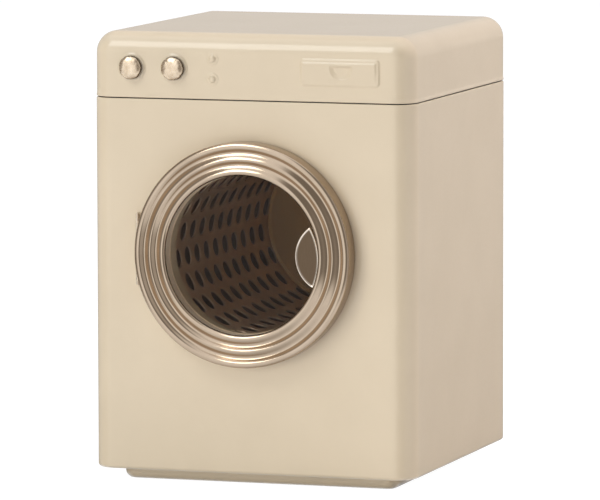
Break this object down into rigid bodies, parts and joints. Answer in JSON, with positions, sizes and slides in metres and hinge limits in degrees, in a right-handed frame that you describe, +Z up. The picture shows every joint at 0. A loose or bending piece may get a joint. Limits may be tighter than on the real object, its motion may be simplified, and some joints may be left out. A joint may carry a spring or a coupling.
{
  "type": "toy washing machine",
  "caption": "Doll's-house toy washing machine in cream painted sheet metal, with a hinged porthole door, a turning perforated drum, round knobs and a pressed drawer front",
  "frame": {"origin": "middle of the flat plinth, on the surface that the toy stands on", "axes": "+X to the right as seen from the front, -Y out of the front face with the door, +Z up"},
  "size_m": [0.093, 0.1008, 0.125],
  "materials": {
    "body_paint": "cream enamel, satin gloss",
    "gold_metal": "champagne gold lacquer over fine turned brushing",
    "drum_metal": "grey-brown metal sheet, satin",
    "brass": "hammered, warm and slightly worn",
    "tin_sheet": "bare tinned sheet",
    "window_plastic": "clear, thin, with fine scuffs",
    "soft_seal": "tan, satin",
    "magnet": "dark sintered"
  },
  "bodies": {
    "cabinet": {"cabinet_wrap": "body_paint", "base_pan": "body_paint", "top_cap": "body_paint", "cap_neck": "tin_sheet", "mouth_collar": "body_paint", "axle_bush": "brass", "hinge_leaf_cabinet": "gold_metal", "hinge_pin": "gold_metal"},
    "door": {"door_ring": "gold_metal", "door_backing": "gold_metal", "door_window": "window_plastic", "window_gasket": "soft_seal", "door_grip": "gold_metal", "door_magnet": "magnet", "hinge_leaf_door": "gold_metal"},
    "drum": {"drum_shell": "drum_metal", "drum_back": "drum_metal", "drum_hub": "drum_metal", "drum_axle": "gold_metal", "axle_cap": "tin_sheet"},
    "left_knob": {"knob_left": "brass", "knob_post_left": "brass", "knob_washer_left": "tin_sheet"},
    "right_knob": {"knob_right": "brass", "knob_post_right": "brass", "knob_washer_right": "tin_sheet"}
  },
  "joints": [
    {"name": "door_hinge", "type": "hinge", "parent": "cabinet", "child": "door", "pos_m": [-0.03245, -0.0477, 0.06525], "axis": [0, 0, -1], "range_deg": [0, 110]},
    {"name": "drum_turn", "type": "hinge", "parent": "cabinet", "child": "drum", "pos_m": [-0.0008, 0, 0.06475], "axis": [0, 1, 0], "continuous": true},
    {"name": "left_knob_turn", "type": "hinge", "parent": "cabinet", "child": "left_knob", "pos_m": [-0.0344, -0.0465, 0.1153], "axis": [0, -1, 0], "continuous": true},
    {"name": "right_knob_turn", "type": "hinge", "parent": "cabinet", "child": "right_knob", "pos_m": [-0.0221, -0.0465, 0.1153], "axis": [0, -1, 0], "continuous": true}
  ]
}
